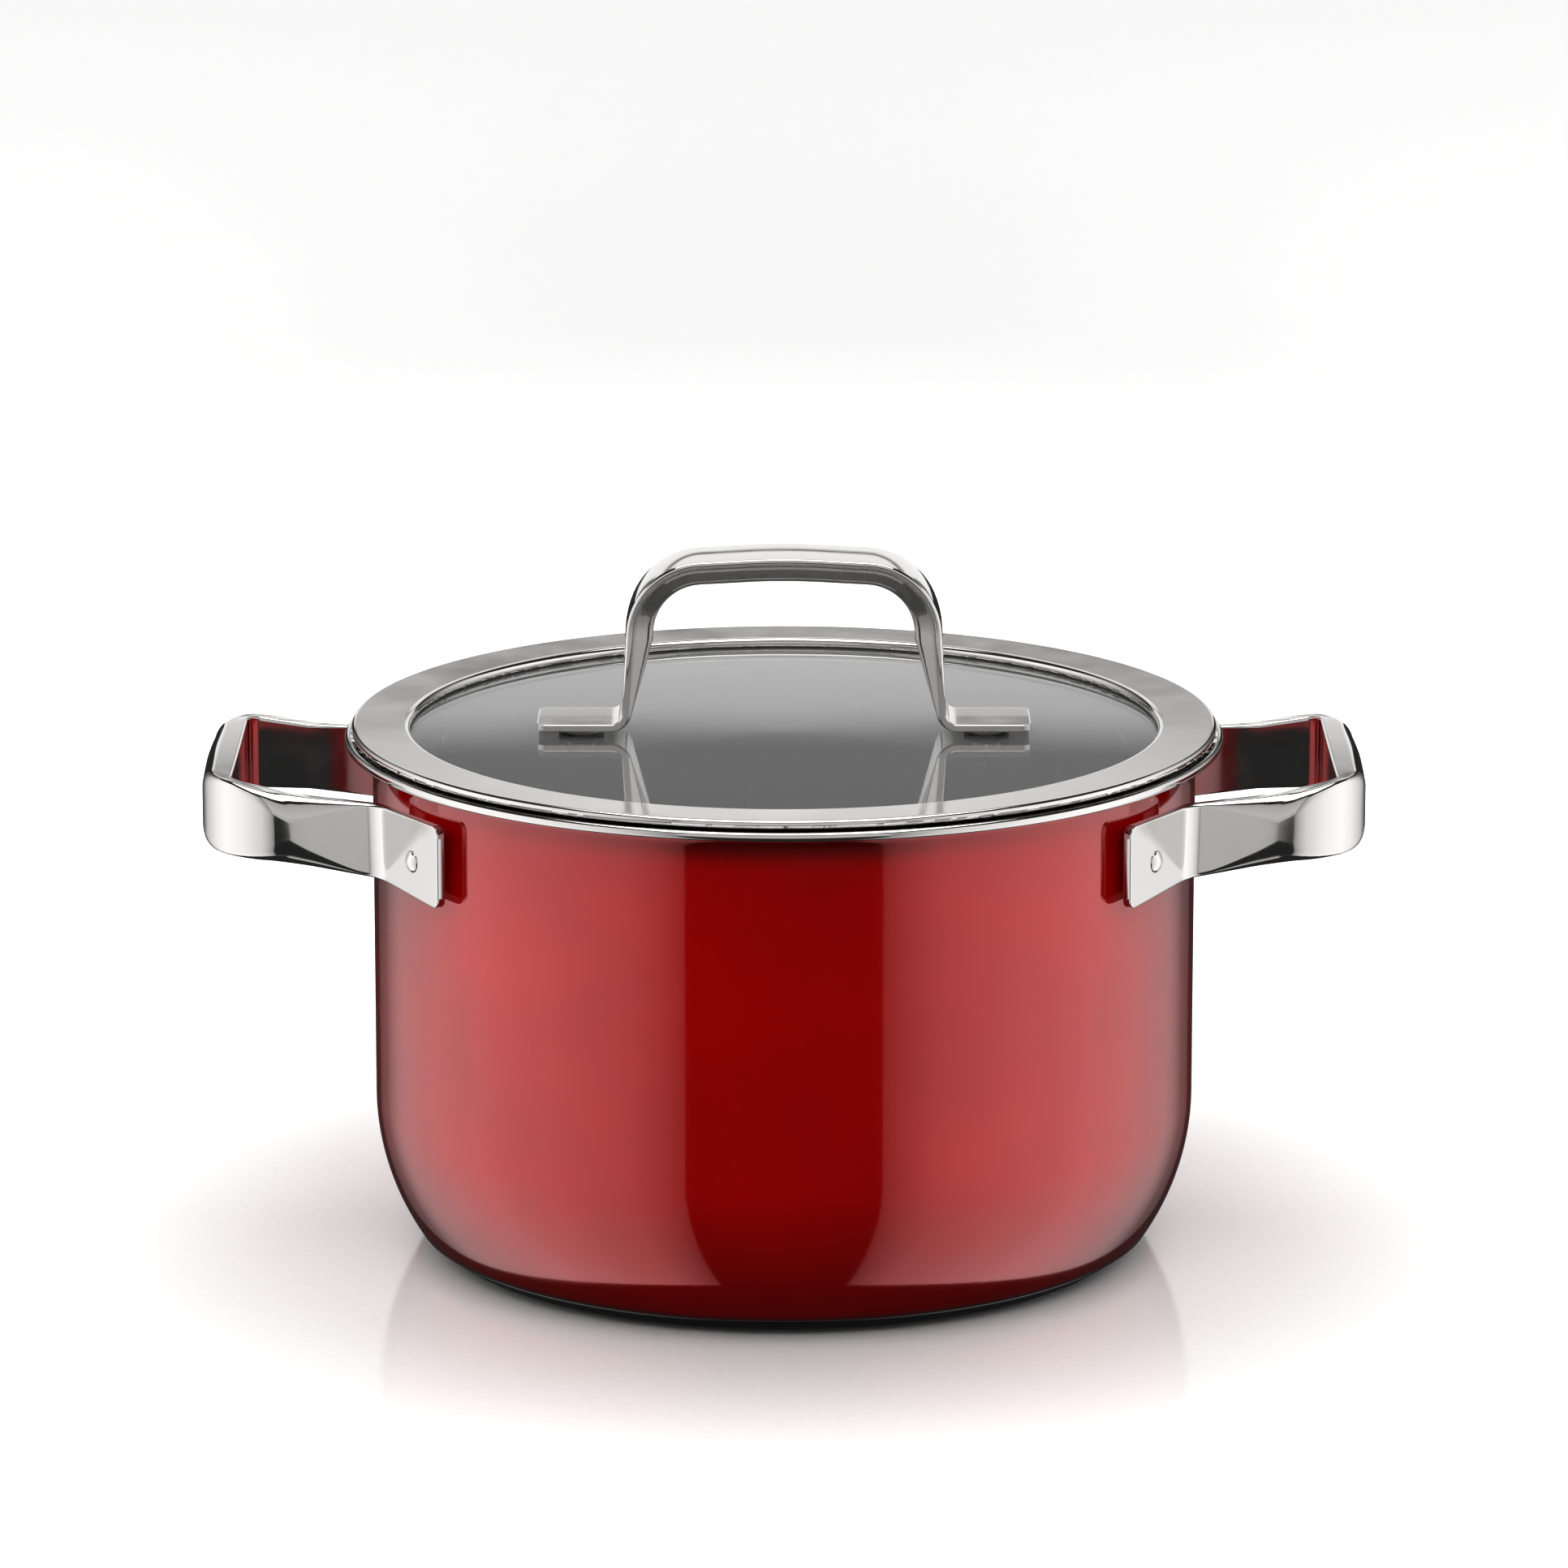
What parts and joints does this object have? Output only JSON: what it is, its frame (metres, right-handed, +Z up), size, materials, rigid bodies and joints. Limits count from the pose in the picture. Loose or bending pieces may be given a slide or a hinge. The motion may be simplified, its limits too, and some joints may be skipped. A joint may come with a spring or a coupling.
{
  "type": "stock pot",
  "caption": "Tall enamelled steel stock pot with a polished rim, riveted side handles and a lift-off glass lid in a steel ring with a strap handle.",
  "frame": {"origin": "centre of the base on the surface the pot stands on", "axes": "+Z up, +X through the right-hand side handle, -Y towards the viewer"},
  "size_m": [0.342, 0.26, 0.2091],
  "materials": {
    "red_enamel": "high gloss fired enamel",
    "black_enamel": "semi-gloss fired enamel",
    "polished_steel": "mirror polished stainless steel",
    "satin_steel": "satin stainless steel",
    "smoked_glass": "flat toughened glass, smoked grey",
    "black_silicone": "matte moulded silicone",
    "clear_silicone": "clear moulded silicone"
  },
  "bodies": {
    "pot": {"pot_body": "red_enamel", "base_plate": "black_enamel", "rim_band": "polished_steel", "side_handle_left": "polished_steel", "side_handle_right": "polished_steel", "handle_rivets_left": "polished_steel", "handle_rivets_right": "polished_steel", "handle_spacers_left": "satin_steel", "handle_spacers_right": "satin_steel"},
    "seal": {"lid_seal": "black_silicone"},
    "lid": {"lid_ring": "polished_steel", "retaining_ring": "satin_steel", "glass_gasket": "black_silicone", "lid_glass": "smoked_glass", "lid_handle": "polished_steel", "lid_handle_studs": "satin_steel", "stud_grommets": "clear_silicone", "lower_washers": "black_silicone", "nut_washers": "satin_steel", "cap_nuts": "satin_steel"}
  },
  "joints": [
    {"name": "lid_lift", "type": "slide", "parent": "pot", "child": "seal", "axis": [0, 0, 1], "range_m": [0, 0.2]},
    {"name": "lid_turn", "type": "hinge", "parent": "seal", "child": "lid", "pos_m": [0, 0, 0.155], "axis": [0, 0, 1], "continuous": true}
  ]
}
